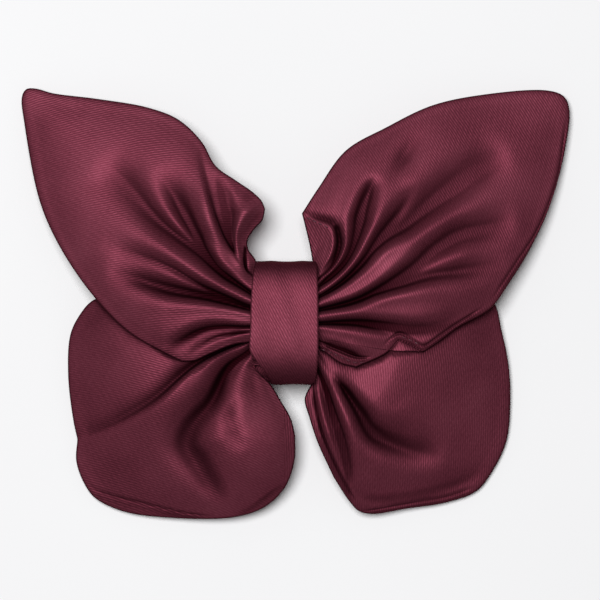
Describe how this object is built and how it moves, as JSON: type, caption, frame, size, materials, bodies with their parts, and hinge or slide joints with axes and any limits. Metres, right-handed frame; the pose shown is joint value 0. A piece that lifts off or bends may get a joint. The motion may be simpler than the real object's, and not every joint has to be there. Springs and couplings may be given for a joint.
{
  "type": "butterfly bow tie on a clip",
  "caption": "Butterfly-shaped gathered satin bow: pointed upper wings, round lower wings, a wrapped centre band and a sprung clip behind.",
  "frame": {"origin": "centre of the bow's box in X and Y, at the surface that the bow lies on face up", "axes": "+X from wing tip to wing tip towards the wearer's left, +Y towards the pointed upper wings, +Z out of the bow's face"},
  "size_m": [0.1812, 0.1417, 0.026],
  "materials": {
    "satin_twill": "deep wine satin twill with a soft sheen",
    "sewing_thread": "twisted polyester thread, dark wine",
    "clip_steel": "nickel-plated pressed steel strip",
    "spring_wire": "drawn spring wire"
  },
  "bodies": {
    "bow": {"fore_front_panel": "satin_twill", "fore_back_panel": "satin_twill", "hind_front_panel": "satin_twill", "hind_back_panel": "satin_twill", "fore_gather_thread": "sewing_thread", "hind_gather_thread": "sewing_thread", "hem_stitches": "sewing_thread", "centre_band": "satin_twill", "band_stitches": "sewing_thread", "clip_upper_arm": "clip_steel", "clip_pin": "clip_steel", "clip_spring": "spring_wire"},
    "clip_lever": {"clip_lower_arm": "clip_steel"}
  },
  "joints": [
    {"name": "clip_jaw_hinge", "type": "hinge", "parent": "bow", "child": "clip_lever", "pos_m": [0.0143, -0.0065, 0.0072], "axis": [0, -1, 0], "range_deg": [0, 22], "stiffness_Nm_per_rad": 0.002, "springref_deg": -17.19, "deforming": ["clip_spring"]}
  ]
}
